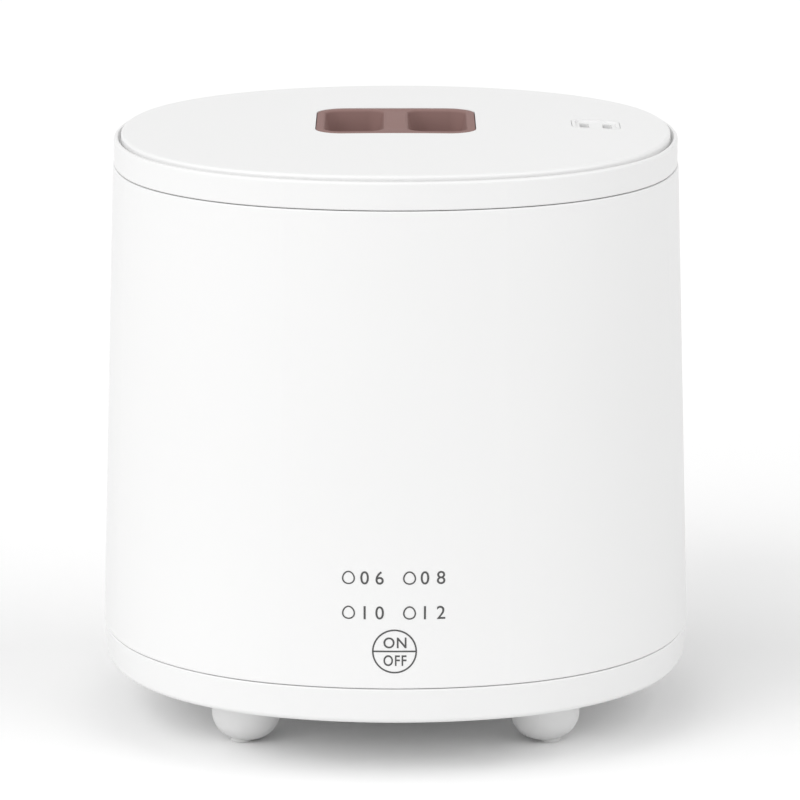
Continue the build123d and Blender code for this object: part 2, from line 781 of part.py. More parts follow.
def make_top_plate():
    """The domed top plate, with openings for the grip and the vent and posts for the lid screws."""
    prism = block(top_plate_half, ledge_top_level, top_level + 1)
    plate = prism & crown()
    rim = [edge for edge in plate.edges() if edge.center().Z > plate_edge_level - 1]
    plate = fillet(rim, top_plate_round)
    inside = block(top_plate_half - housing_wall, ledge_top_level, top_level + 1) & crown(top_plate_thickness)
    plate -= inside
    for place in lid_post_places:
        post = disc(lid_post_radius, liner_floor_top, plate_edge_level, place)
        plate += post
        plate -= disc(screw_radius, liner_floor_top, plate_edge_level - top_plate_thickness, place)
    plate -= rounded(grip_width + 2 * fit_gap, grip_length + 2 * fit_gap, grip_corner + fit_gap,
                     liner_top_level, top_level + 1)
    return plate - rounded(vent_width + 2 * fit_gap, vent_length + 2 * fit_gap, vent_corner + fit_gap,
                           liner_top_level, top_level + 1, vent_place)


def make_grip():
    """The tinted insert with two finger pockets and a bar between them to pinch."""
    floor_level = top_level - pocket_depth
    low = floor_level - grip_floor
    body = rounded(grip_width, grip_length, grip_corner, low, top_level + 1)
    flange_low = top_level - top_plate_thickness - grip_flange_height
    flange = rounded(grip_width + 2 * grip_flange, grip_length + 2 * grip_flange, grip_corner + grip_flange,
                     flange_low, top_level + 1)
    body = (body & crown()) + (flange & crown(top_plate_thickness))
    pocket_width = (grip_width - grip_bar) / 2 - grip_rim
    pocket_x = grip_bar / 2 + pocket_width / 2
    pocket_length = grip_length - 2 * grip_end_rim
    for side in (-1, 1):
        place = (side * pocket_x, 0)
        pocket = rounded(pocket_width, pocket_length, pocket_corner, floor_level, top_level + 2, place)
        pocket = fillet(pocket.faces().sort_by(Axis.Z)[0].edges(), pocket_round)
        body -= pocket
    return body


def make_liner():
    """The lid's inner pan: a flange above the seal and a round plug that enters the chamber."""
    liner = block(liner_flange_half, liner_top_level - liner_thickness, liner_top_level)
    liner += disc(plug_radius, liner_under_level, liner_top_level)
    plug = disc(plug_radius - liner_thickness, liner_floor_top, liner_top_level)
    liner -= plug
    for place in lid_post_places:
        liner -= disc(screw_radius, liner_under_level, liner_floor_top, place)
    return liner - disc(vent_tube_radius + fit_gap, liner_under_level, liner_floor_top, vent_place)


def make_steam_vent():
    """A small insert with a shallow dish, two slots and a tube down through the liner."""
    body_low = top_level - vent_body_height
    body = rounded(vent_width, vent_length, vent_corner, body_low, top_level + 1, vent_place) & crown()
    body += disc(vent_tube_radius, vent_tube_level, body_low + 1, vent_place)
    dish_width = vent_width - 2 * vent_rim
    dish_length = vent_length - 2 * vent_rim
    dish = rounded(dish_width, dish_length, vent_corner - vent_rim, body_low, top_level + 1, vent_place)
    body -= dish - crown(vent_recess)
    body -= disc(vent_tube_radius - vent_tube_wall, vent_tube_level, body_low + 1.5, vent_place)
    for side in (-1, 1):
        place = (vent_place[0] + side * slot_spacing / 2, vent_place[1])
        body -= rounded(slot_width, slot_length, slot_corner, body_low - 1, top_level + 1, place)
    return body


save(make_lid_ring(), "lid_ring")
save(make_top_plate(), "lid_top_plate")
save(make_grip(), "lid_grip")
save(make_liner(), "lid_liner")
seal = ring(plug_radius + lid_seal_width, plug_radius, lid_seam_level, lid_seam_level + lid_seal_height)
save(seal, "lid_seal")
save(make_steam_vent(), "steam_vent")
grommet = ring(vent_tube_radius + grommet_width, vent_tube_radius,
               liner_floor_top, liner_floor_top + grommet_height, vent_place)
save(grommet, "vent_grommet")
lid_screw_tip = plate_edge_level - top_plate_thickness
save([screw_up(place, liner_under_level, lid_screw_tip) for place in lid_post_places], "lid_screws")


# Egg rack

rack_level = plate_top_level + rack_height
egg_places = on_circle(egg_hole_circle, egg_count, 90)


def make_rack():
    """A round tray with a hole for each egg, on legs that stand on the heating plate."""
    rim_low = rack_level - (rack_rim_height - rack_thickness) / 2
    rack = disc(rack_radius, rack_level, rack_level + rack_thickness)
    rack += ring(rack_radius, rack_radius - rack_rim_width, rim_low, rim_low + rack_rim_height)
    for place in egg_places:
        rack -= disc(egg_hole_radius, rack_level, rack_level + rack_thickness, place)
    for place in on_circle(rack_leg_circle, egg_count, 90 + 180 / egg_count):
        rack += disc(rack_leg_radius, plate_top_level, rack_level + 0.5, place)
    return rack - disc(rack_centre_hole, rack_level, rack_level + rack_thickness)


save(make_rack(), "egg_rack")


# Steaming bowl

bowl_under_level = mouth_floor_level - bowl_depth
bowl_floor_level = bowl_under_level + bowl_sheet


def make_bowl():
    """A pressed steel bowl that hangs by its rim on the step in the chamber's mouth."""
    outside = disc(bowl_radius, bowl_under_level, mouth_floor_level + bowl_sheet)
    outside = fillet(outside.faces().sort_by(Axis.Z)[0].edges(), bowl_round)
    bowl = outside + disc(plug_radius, mouth_floor_level, mouth_floor_level + bowl_sheet)
    inside = disc(bowl_radius - bowl_sheet, bowl_floor_level, mouth_floor_level + bowl_sheet)
    bowl -= fillet(inside.faces().sort_by(Axis.Z)[0].edges(), bowl_round - bowl_sheet)
    for place in on_circle((bowl_radius + chamber_radius) / 2, steam_hole_count, 0):
        bowl -= disc(steam_hole_radius, mouth_floor_level, mouth_floor_level + bowl_sheet, place)
    return bowl


save(make_bowl(), "steaming_bowl")


# Measuring cup, which stands in the bowl when it is put away

cup_level = bowl_floor_level
cup_foot_radius = cup_radius - cup_height * sin(radians(cup_draft))


def make_cup():
    """A small cup that widens upwards, with a well under its floor for the pin."""
    outside = Pos(0, 0, cup_level + cup_height / 2) * Cone(cup_foot_radius, cup_radius, cup_height)
    hollow_height = cup_height - cup_floor
    hollow_foot = cup_foot_radius - cup_wall + cup_floor * sin(radians(cup_draft))
    hollow = Cone(hollow_foot, cup_radius - cup_wall, hollow_height)
    cup = outside - Pos(0, 0, cup_level + cup_floor + hollow_height / 2) * hollow
    cup -= disc(pin_well_radius, cup_level, cup_level + pin_well_depth)
    return cup - disc(pin_radius, cup_level, cup_level + pin_well_depth + pin_seat)


def make_pin():
    """The short steel pin that pricks the egg's shell."""
    root = cup_level + pin_well_depth + pin_seat
    end = root - pin_seat - pin_length
    shaft = disc(pin_radius, end + pin_point, root)
    return shaft + Pos(0, 0, end + pin_point / 2) * Cone(pin_tip_radius, pin_radius, pin_point)


save(make_cup(), "measuring_cup")
save(make_pin(), "piercing_pin")
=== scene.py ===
import math

import bmesh
import bpy
from mathutils import Matrix, Vector


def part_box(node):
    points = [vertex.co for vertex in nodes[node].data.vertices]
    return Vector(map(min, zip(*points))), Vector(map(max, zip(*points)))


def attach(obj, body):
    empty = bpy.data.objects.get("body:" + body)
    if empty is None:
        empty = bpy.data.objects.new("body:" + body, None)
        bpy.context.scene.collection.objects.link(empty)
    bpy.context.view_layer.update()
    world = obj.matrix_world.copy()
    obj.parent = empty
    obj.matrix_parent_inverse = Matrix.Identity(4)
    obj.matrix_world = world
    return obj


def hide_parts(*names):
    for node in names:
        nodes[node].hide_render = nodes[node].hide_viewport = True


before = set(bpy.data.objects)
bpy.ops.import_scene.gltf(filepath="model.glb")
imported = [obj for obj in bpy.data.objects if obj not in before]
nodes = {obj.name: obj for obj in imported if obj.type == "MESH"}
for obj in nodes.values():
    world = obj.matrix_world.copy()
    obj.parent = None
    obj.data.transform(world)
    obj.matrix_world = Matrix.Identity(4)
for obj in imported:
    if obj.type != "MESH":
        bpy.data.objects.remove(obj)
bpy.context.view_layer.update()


# Base shell: a shallow dish moulded in white polypropylene, with four rounded feet on its underside.
# Its tongue stands up inside the tall shell, and a fine shadow gap is left between the two.


class Signal:
    """One output of a material's node, which can be used in sums with numbers and other outputs."""

    def __init__(self, finish, socket):
        self.finish = finish
        self.socket = socket

    def sum(self, operation, first, second):
        return self.finish.node("ShaderNodeMath", {"operation": operation}, {0: first, 1: second})

    def __add__(self, other):
        return self.sum("ADD", self, other)

    def __radd__(self, other):
        return self.sum("ADD", other, self)

    def __sub__(self, other):
        return self.sum("SUBTRACT", self, other)

    def __rsub__(self, other):
        return self.sum("SUBTRACT", other, self)

    def __mul__(self, other):
        return self.sum("MULTIPLY", self, other)

    def __rmul__(self, other):
        return self.sum("MULTIPLY", other, self)

    def __gt__(self, other):
        return self.sum("GREATER_THAN", self, other)

    def __lt__(self, other):
        return self.sum("LESS_THAN", self, other)


class Finish:
    """A procedural surface finish, built round one Principled shader."""

    def __init__(self, name, **constants):
        self.material = bpy.data.materials.new(name)
        self.material.use_nodes = True
        self.tree = self.material.node_tree
        self.shader = self.tree.nodes["Principled BSDF"]
        for key, value in constants.items():
            self.feed(self.shader.inputs[key.replace("_", " ")], value)

    def feed(self, socket, value):
        """Links an output to a socket, or writes a plain value on it."""
        if isinstance(value, Signal):
            self.tree.links.new(value.socket, socket)
        elif isinstance(value, tuple) and len(value) == 3 and socket.type == "RGBA":
            socket.default_value = (*value, 1.0)
        else:
            socket.default_value = value

    def node(self, kind, settings=None, inputs=None, output=0):
        """Adds a node of a type: its settings first, then the values or links of its sockets."""
        made = self.tree.nodes.new(kind)
        for key, value in (settings or {}).items():
            setattr(made, key, value)
        for key, value in (inputs or {}).items():
            self.feed(made.inputs[key], value)
        return Signal(self, made.outputs[output])

    def place(self):
        """Coordinates fixed to the piece, in metres."""
        return self.node("ShaderNodeTexCoord", output="Object")

    def noise(self, scale, detail=2.0, roughness=0.5, at=None):
        """Cloudy noise from 0 to 1."""
        sockets = {"Vector": at or self.place(), "Scale": scale, "Detail": detail, "Roughness": roughness}
        return self.node("ShaderNodeTexNoise", None, sockets)

    def along(self, stretch):
        """Coordinates stretched by a factor on each axis, for a grain that runs one way."""
        return self.node("ShaderNodeVectorMath", {"operation": "MULTIPLY"}, {0: self.place(), 1: stretch})

    def turned(self):
        """Coordinates that only change with the distance from the upright axis, for rings of turning."""
        flat = self.along((1.0, 1.0, 0.0))
        distance = self.node("ShaderNodeVectorMath", {"operation": "LENGTH"}, {0: flat}, "Value")
        return self.node("ShaderNodeCombineXYZ", None, {"X": distance})

    def shade(self, socket, value):
        """Sets one of the shader's sockets."""
        self.feed(self.shader.inputs[socket], value)
        return self

    def relief(self, height, depth, strength=1.0):
        """Raises and sinks the surface by a height from 0 to 1, over a depth in metres."""
        bump = self.node("ShaderNodeBump", None, {"Strength": strength, "Distance": depth, "Height": height})
        return self.shade("Normal", bump)

    def tint(self, mask, low, high):
        """Blends between two colours by a mask, as the base colour."""
        blend = self.node("ShaderNodeMix", {"data_type": "RGBA"}, {0: mask, 6: low, 7: high}, output=2)
        return self.shade("Base Color", blend)


def dress(finish, *names):
    """Gives pieces that keep their CAD shape their finish."""
    for name in names:
        for holder in nodes[name].material_slots:
            holder.material = finish.material


plastic_ior = 1.49
mould_grain_scale = 5200.0
melt_flow_scale = 14.0


def moulded(name, dark, light, gloss=0.36, grain_depth=0.000035):
    """Moulded plastic from a finely spark-eroded mould: satin, with a grain of about 0.2 mm."""
    finish = Finish(name, IOR=plastic_ior)
    grain = finish.noise(mould_grain_scale, detail=3.0, roughness=0.6)
    flow = finish.noise(melt_flow_scale)
    finish.tint(flow, dark, light)
    finish.shade("Roughness", gloss + 0.08 * flow + 0.06 * grain)
    return finish.relief(grain, grain_depth, strength=0.35)


white = moulded("housing_white", (0.812, 0.812, 0.810), (0.830, 0.830, 0.828))
dress(white, "base_shell")


# Foot pads: four pale silicone plugs pressed into the feet. They stop the cooker from sliding
# and cover the screws that hold the base. Each has fine rings moulded into its sole.

foot_place = 0.0416
pad_radius = 0.0029
pad_length = 0.0036
pad_edge = 0.0003
sole_groove_depth = 0.0002
sole_groove_slope = 0.0001
sole_ring = (0.0009, 0.0014)  # inner and outer radius of the ring inside the sole's rim
sole_rim = 0.0020             # inner radius of the rim
axis_reach = 0.0001           # a turned shape starts and ends this near its axis
silicone_ior = 1.41
silicone_dust_scale = 420.0
silicone_grain_scale = 3600.0


def circled(radius, level, count=96):
    """A ring of points on a circle round the upright axis."""
    angles = [2 * math.pi * i / count for i in range(count)]
    return [(radius * math.cos(a), radius * math.sin(a), level) for a in angles]


def profile(corners, steps=6):
    """A line of (reach, level) points whose corners (reach, level, radius) are rounded with arcs."""
    line = []
    for i, (x, z, radius) in enumerate(corners):
        if not radius or i in (0, len(corners) - 1):
            line.append((x, z))
            continue
        here = Vector((x, z))
        to_last = (Vector(corners[i - 1][:2]) - here).normalized()
        to_next = (Vector(corners[i + 1][:2]) - here).normalized()
        half_angle = to_last.angle(to_next) / 2
        start = here + to_last * radius / math.tan(half_angle)
        middle = here + (to_last + to_next).normalized() * radius / math.sin(half_angle)
        first = start - middle
        sweep = math.pi - 2 * half_angle
        side = 1 if to_last.cross(to_next) < 0 else -1
        for k in range(steps + 1):
            turn = side * sweep * k / steps
            arm = Vector((first.x * math.cos(turn) - first.y * math.sin(turn),
                          first.x * math.sin(turn) + first.y * math.cos(turn)))
            line.append(tuple(middle + arm))
    return line


def skin(name, rings, looped=False):
    """A closed mesh over rings of points: looped joins the last ring to the first, else ends are capped."""
    work = bmesh.new()
    rows = [[work.verts.new(point) for point in ring] for ring in rings]
    pairs = list(zip(rows, rows[1:]))
    if looped:
        pairs.append((rows[-1], rows[0]))
    for low, high in pairs:
        for i in range(len(low)):
            j = (i + 1) % len(low)
            work.faces.new((low[i], low[j], high[j], high[i]))
    if not looped:
        work.faces.new(list(reversed(rows[0])))
        work.faces.new(rows[-1])
    bmesh.ops.recalc_face_normals(work, faces=work.faces)
    mesh = bpy.data.meshes.new(name)
    work.to_mesh(mesh)
    work.free()
    return mesh


def soften(mesh, degrees=35):
    """Smooth shading, with edges sharper than the angle kept crisp."""
    mesh.shade_smooth()
    mesh.set_sharp_from_angle(angle=math.radians(degrees))
    return mesh


def repeated(name, *groups):
    """One mesh from groups (pattern, spots): a copy of the pattern stands at each spot, a matrix."""
    work = bmesh.new()
    for pattern, spots in groups:
        for spot in spots:
            copy = pattern.copy()
            copy.transform(spot)
            work.from_mesh(copy)
    mesh = bpy.data.meshes.new(name)
    work.to_mesh(mesh)
    work.free()
    return mesh


def piece(name, mesh, body, finish, replaced=()):
    """Puts a mesh into the scene as a named piece that rides on a body."""
    made = bpy.data.objects.new(name, mesh)
    bpy.context.scene.collection.objects.link(made)
    mesh.materials.clear()
    mesh.materials.append(finish.material)
    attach(made, body)
    if replaced:
        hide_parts(*replaced)
    return made


def silicone(name, dark, light):
    """Matt silicone rubber with a dry, slightly dusty surface."""
    finish = Finish(name, IOR=silicone_ior)
    dust = finish.noise(silicone_dust_scale, detail=4.0, roughness=0.6)
    finish.tint(dust, dark, light)
    finish.shade("Roughness", 0.58 + 0.2 * dust)
    return finish.relief(finish.noise(silicone_grain_scale), depth=0.00004, strength=0.4)


def square_spots(half_x, half_y, level, middle_y=0.0):
    """The four corners of a rectangle, as spots."""
    places = [(sx * half_x, middle_y + sy * half_y, level) for sx in (-1, 1) for sy in (-1, 1)]
    return [Matrix.Translation(place) for place in places]


pad_rubber = silicone("pad_silicone", (0.66, 0.66, 0.655), (0.74, 0.74, 0.73))
pad_line = profile([
    (axis_reach, sole_groove_depth, 0),
    (sole_ring[0] - sole_groove_slope, sole_groove_depth, 0),
    (sole_ring[0], 0.0, 0),
    (sole_ring[1], 0.0, 0),
    (sole_ring[1] + sole_groove_slope, sole_groove_depth, 0),
    (sole_rim - sole_groove_slope, sole_groove_depth, 0),
    (sole_rim, 0.0, 0),
    (pad_radius, 0.0, pad_edge),
    (pad_radius, pad_length, pad_edge),
    (axis_reach, pad_length, 0)], steps=4)
pad = skin("foot_pad", [circled(r, z, count=48) for r, z in pad_line])
pads = repeated("foot_pads", (pad, square_spots(foot_place, foot_place, 0.0)))
piece("foot_pads_soft", soften(pads, degrees=30), "housing", pad_rubber, ["foot_pads"])


# Base screws: four long zinc-plated screws with cross recesses, put in through the feet from below.
# They run into the carrier's posts, and their heads are out of reach behind the pads.

screw_radius = 0.0015
screw_head = 0.0028
screw_head_rise = 0.0018
thread_pitch = 0.0008
thread_depth = 0.00025
thread_flank = 0.35           # half a thread's foot, as a share of its pitch
head_round = 0.6              # the head's rounding, as a share of its height
head_edge = 0.0001
recess_arms = (0.26, 1.1)     # width and span of the cross recess, as shares of the head's radius
recess_corner = 0.05
recess_floor = 0.45           # what is left under the recess, as a share of the head's height
recess_over = 0.0005          # how far the cutter stands out of the head
base_screw_seat = 0.009
base_screw_length = 0.01815
zinc_bloom_scale = 700.0
zinc_grain_scale = 4200.0


def carved(name, mesh, others):
    """The mesh after cutting others out of it."""
    carrier = bpy.data.objects.new(name, mesh)
    bpy.context.scene.collection.objects.link(carrier)
    tools = []
    for other in others:
        tool = bpy.data.objects.new(name + "_tool", other)
        bpy.context.scene.collection.objects.link(tool)
        cut = carrier.modifiers.new("cut", "BOOLEAN")
        cut.operation = "DIFFERENCE"
        cut.solver = "EXACT"
        cut.object = tool
        tools.append(tool)
    graph = bpy.context.evaluated_depsgraph_get()
    result = bpy.data.meshes.new_from_object(carrier.evaluated_get(graph))
    result.name = name
    for made in [carrier, *tools]:
        bpy.data.objects.remove(made)
    return result


def corners_of(width, length, corner, centre=(0, 0), steps=8):
    """The plan of a rounded rectangle as points."""
    points = []
    for quarter, (sx, sy) in enumerate(((1, 1), (-1, 1), (-1, -1), (1, -1))):
        x = centre[0] + sx * (width / 2 - corner)
        y = centre[1] + sy * (length / 2 - corner)
        for k in range(steps + 1):
            turn = math.pi / 2 * (quarter + k / steps)
            points.append((x + corner * math.cos(turn), y + corner * math.sin(turn)))
    return points


def bar(name, plan, low, high):
    """An upright solid with a given plan between two levels."""
    return skin(name, [[(x, y, z) for x, y in plan] for z in (low, high)])


def cross_screw(radius, head, length):
    """A pan-head screw that points up, its head under the level it is seated at, with a cross recess."""
    corners = [(axis_reach, -screw_head_rise, 0)]
    corners += [(head, -screw_head_rise, screw_head_rise * head_round), (head, 0.0, head_edge)]
    turns = int((length - 2 * radius) / thread_pitch)
    for turn in range(turns):
        crest = thread_pitch * (turn + 0.5)
        corners += [(radius - thread_depth, crest - thread_pitch * thread_flank, 0), (radius, crest, 0)]
    corners += [(radius - thread_depth, length - radius, 0), (radius / 3, length, 0), (axis_reach, length, 0)]
    mesh = skin("screw", [circled(r, z, count=32) for r, z in profile(corners, steps=5)])
    arms = []
    for width, span in (recess_arms, reversed(recess_arms)):
        plan = corners_of(head * width, head * span, head * recess_corner, steps=2)
        arms.append(bar("recess", plan, -screw_head_rise - recess_over, -screw_head_rise * recess_floor))
    return carved("screw", mesh, arms)


def zinc(name):
    """Bright zinc plating with a faint bluish bloom."""
    finish = Finish(name, Metallic=1.0)
    bloom = finish.noise(zinc_bloom_scale, detail=3.0, roughness=0.6)
    finish.tint(bloom, (0.60, 0.62, 0.65), (0.76, 0.76, 0.75))
    finish.shade("Roughness", 0.22 + 0.2 * bloom)
    return finish.relief(finish.noise(zinc_grain_scale), depth=0.00001, strength=0.3)


zinc_plate = zinc("zinc_plate")
long_screw = cross_screw(screw_radius, screw_head, base_screw_length)
base_spots = square_spots(foot_place, foot_place, base_screw_seat)
base_screws = repeated("base_screws", (long_screw, base_spots))
piece("base_screws_cut", soften(base_screws), "housing", zinc_plate, ["base_screws"])


# Power board: green glass-fibre laminate on four posts, with a blue relay, a black capacitor,
# a ceramic terminal block and a buzzer. The mains comes in from the inlet beside it.

track_grid = (0.0016, 0.0032, 0.0016)
track_scale = 90.0
track_band = (0.47, 0.56)     # where the noise gives a copper track
track_rise = 0.00004


def laminate(name, mask_green, track_green):
    """Circuit board under green solder mask, with copper tracks showing through as lighter lines."""
    finish = Finish(name, IOR=1.5, Roughness=0.34)
    grid = {0: finish.place(), 1: track_grid}
    steps = finish.node("ShaderNodeVectorMath", {"operation": "SNAP"}, grid)
    routes = finish.noise(track_scale, detail=0.0, at=steps)
    track = (routes > track_band[0]) * (routes < track_band[1])
    finish.tint(track, mask_green, track_green)
    return finish.relief(track, track_rise, strength=0.6)


board_green = laminate("solder_mask", (0.012, 0.115, 0.045), (0.030, 0.235, 0.085))
black_plastic = moulded("inlet_black", (0.018, 0.018, 0.019), (0.027, 0.027, 0.028),
                        gloss=0.42, grain_depth=0.00005)
relay_blue = moulded("relay_blue", (0.012, 0.070, 0.230), (0.020, 0.095, 0.290),
                     gloss=0.26, grain_depth=0.00001)
fired_clay = moulded("steatite", (0.66, 0.63, 0.55), (0.74, 0.71, 0.64), gloss=0.62, grain_depth=0.00006)
dress(board_green, "power_board", "touch_board")
dress(relay_blue, "relay")
dress(black_plastic, "capacitor", "buzzer")
dress(fired_clay, "terminal_block", "thermal_fuse")


# Board screws: eight small screws, four down through the power board and four that hold
# the touch board to its posts behind the front wall.

small_radius = 0.0012
small_head = 0.0023
small_length = 0.005
board_half_x = 0.029
board_half_y = 0.020
board_middle = 0.021
board_top = 0.0243
panel_half_x = 0.0196
panel_half_z = 0.0146
panel_middle = 0.0470
panel_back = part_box("touch_board")[1][1]

short_screw = cross_screw(small_radius, small_head, small_length)
facing_down = Matrix.Rotation(math.pi, 4, "X")
facing_front = Matrix.Rotation(math.pi / 2, 4, "X")
spots = [spot @ facing_down for spot in square_spots(board_half_x, board_half_y, board_top, board_middle)]
for sx in (-1, 1):
    for sz in (-1, 1):
        spot = Matrix.Translation((sx * panel_half_x, panel_back, panel_middle + sz * panel_half_z))
        spots.append(spot @ facing_front)
board_screws = repeated("board_screws", (short_screw, spots))
piece("board_screws_cut", soften(board_screws), "housing", zinc_plate, ["board_screws"])


# Mains inlet: a black two-pin socket behind the window in the back wall, with nickel-plated pins.
# Silicone-sleeved leads join it to the terminal block, and two more go on to the heating element.

plate_stain_scale = 160.0
plate_grain_scale = 5200.0


def plated(name, dark, light, gloss):
    """Smooth plated metal with faint stains of handling."""
    finish = Finish(name, Metallic=1.0)
    stain = finish.noise(plate_stain_scale, detail=3.0, roughness=0.6)
    finish.tint(stain, dark, light)
    finish.shade("Roughness", gloss + 0.14 * stain)
    return finish.relief(finish.noise(plate_grain_scale, detail=1.0), depth=0.000008, strength=0.3)


nickel = plated("nickel_plate", (0.66, 0.63, 0.56), (0.78, 0.75, 0.69), gloss=0.16)
sleeve = silicone("lead_sleeve", (0.50, 0.47, 0.41), (0.57, 0.54, 0.48))
dress(black_plastic, "power_inlet")
dress(nickel, "inlet_pins")
dress(sleeve, "mains_leads", "heater_leads")


# Carrier and heater: a white ring moulded in heat-resistant plastic holds the steel water plate on a
# silicone seal. Under the plate an aluminium disc is cast round the tubular element, and a clamp ring,
# a thermostat on its strap, a sensor and a fuse are fixed to it.

plate_screw_seat = 0.0381
plate_screw_length = 0.0048
plate_screw_circle = 0.040
strap_screw_seat = 0.0372
strap_screw_length = 0.0057
strap_screw_place = 0.013
clamp_screw_count = 4
ring_scratch_scale = 2600.0
line_scratch_scale = 420.0
line_stretch = (1.0, 14.0, 14.0)
steel_smear_scale = 30.0


def rolled_steel(name, dark, light, gloss, rings=True):
    """Stainless sheet, spun or brushed, whose fine scratches widen its highlights."""
    finish = Finish(name, Metallic=1.0)
    at = finish.turned() if rings else finish.along(line_stretch)
    scale = ring_scratch_scale if rings else line_scratch_scale
    scratches = finish.noise(scale, detail=4.0, roughness=0.7, at=at)
    smear = finish.noise(steel_smear_scale, detail=3.0, roughness=0.55)
    finish.tint(scratches, dark, light)
    finish.shade("Roughness", gloss + 0.12 * scratches + 0.08 * smear)
    return finish.relief(scratches, depth=0.000012, strength=0.35)


chamber_white = moulded("chamber_white", (0.745, 0.745, 0.735), (0.775, 0.775, 0.765),
                        gloss=0.30, grain_depth=0.00002)
seal_rubber = silicone("seal_silicone", (0.58, 0.58, 0.565), (0.66, 0.66, 0.645))
water_plate_steel = rolled_steel("water_plate_steel", (0.50, 0.50, 0.49), (0.68, 0.68, 0.67), gloss=0.22)
strap_steel = rolled_steel("strap_steel", (0.52, 0.53, 0.54), (0.68, 0.68, 0.68), gloss=0.28, rings=False)
cast_alloy = rolled_steel("cast_aluminium", (0.48, 0.48, 0.48), (0.60, 0.60, 0.60), gloss=0.40)
dress(chamber_white, "plate_carrier", "cooking_chamber")
dress(seal_rubber, "plate_seal", "touch_pad")
dress(water_plate_steel, "heating_plate", "heating_element")
dress(cast_alloy, "heat_spreader")
dress(strap_steel, "plate_clamp_ring", "thermostat_bracket")
dress(fired_clay, "thermostat")
dress(black_plastic, "temperature_sensor", "light_guide")

clamp_screw = cross_screw(screw_radius, screw_head, plate_screw_length)
strap_screw = cross_screw(screw_radius, screw_head, strap_screw_length)
first_spot = Matrix.Translation((plate_screw_circle, 0, plate_screw_seat))
clamp_turn = 2 * math.pi / clamp_screw_count
clamp_spots = [Matrix.Rotation(clamp_turn * i, 4, "Z") @ first_spot for i in range(clamp_screw_count)]
strap_spots = [Matrix.Translation((side * strap_screw_place, 0, strap_screw_seat)) for side in (-1, 1)]
plate_screws = repeated("plate_screws", (clamp_screw, clamp_spots), (strap_screw, strap_spots))
piece("plate_screws_cut", soften(plate_screws), "housing", zinc_plate, ["plate_screws"])


# Touch panel: behind the front wall, a board with four lamps in a black grid and a soft pad
# that carries the touch through the plastic.

frost_scale = 2400.0

lens = Finish("lamp_lens", IOR=1.5, Transmission_Weight=0.6)
frost = lens.noise(frost_scale)
lens.tint(frost, (0.86, 0.86, 0.82), (0.93, 0.93, 0.90))
lens.shade("Roughness", 0.2 + 0.25 * frost)
dress(lens, "mode_lamps")


# Outer shell: the tall white wall, drawn slightly wider towards the bottom so that it leaves its mould.
# It is clamped between the base and the chamber's flange, and has a window for the inlet at its back.

body_half = 0.0803            # half width at the lower seam
side_radius = 0.1015
body_narrowing = 0.00378
half_gap = 0.0001             # half of the shadow gap at the lower seam
seam_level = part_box("outer_shell")[0][2] - half_gap
lid_seam_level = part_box("outer_shell")[1][2]
body_height = lid_seam_level - seam_level

dress(white, "outer_shell")


# Printed marks: dark grey pad printing on the front, a hair above the plastic. A ring with a bar across
# is the touch key, and over it stand four cooking modes, each an egg with its minutes.

ink_lift = 0.00003
ink_depth = 0.00002
key_radius = 0.00566
key_offset = -0.00032
key_rise = 0.01018
key_line = 0.00042
word_height = 0.0029
word_width = 0.0060
word_weight = 0.012
word_offset = -0.0002
word_rises = (0.01247, 0.00772)
mark_line = 0.00038
egg_size = (0.0030, 0.0032)
egg_narrowing = 0.12
figure_height = 0.0035
mark_rises = (0.02977, 0.02047)
mark_places = ((-0.0123, -0.0081, -0.0042), (0.0036, 0.0076, 0.0118))
minutes = (("06", "08"), ("10", "12"))
letter_spacing = 1.12
weld_reach = 1e-6             # ink corners nearer than this are one
ink_mottle_scale = 9000.0


def half_at(level):
    """Half width of the shell's outer face at a level."""
    return body_half - body_narrowing * (level - seam_level) / body_height


def front_at(x, level):
    """Where the front face of the shell is, in Y."""
    radius = side_radius + half_at(level) - body_half
    return -(body_half - side_radius + math.sqrt(radius ** 2 - x ** 2))


def stroke(work, points, width, closed=False):
    """Adds a flat line of ink along points (x, level)."""
    count = len(points)
    rows = []
    for i, (x, z) in enumerate(points):
        last = points[(i - 1) % count] if closed or i else points[i]
        following = points[(i + 1) % count] if closed or i < count - 1 else points[i]
        run = Vector((following[0] - last[0], following[1] - last[1])).normalized()
        across = Vector((-run.y, run.x)) * width / 2
        rows.append([(x + across.x, z + across.y), (x - across.x, z - across.y)])
    pairs = list(zip(rows, rows[1:])) + ([(rows[-1], rows[0])] if closed else [])
    for first, second in pairs:
        work.faces.new([work.verts.new((x, 0, z)) for x, z in (*first, *reversed(second))])


def level_line(middle, half, level, steps):
    """Points from side to side at a level, so that the ink can follow a round face."""
    return [(middle + half * t / steps, level) for t in range(-steps, steps + 1)]


def oval(centre_x, centre_z, width, height, narrowing=0.0, count=48):
    """Points round an oval, narrower at its top by a share."""
    angles = [2 * math.pi * i / count for i in range(count)]
    return [(centre_x + width / 2 * math.cos(a) * (1 - narrowing * math.sin(a)),
             centre_z + height / 2 * math.sin(a)) for a in angles]


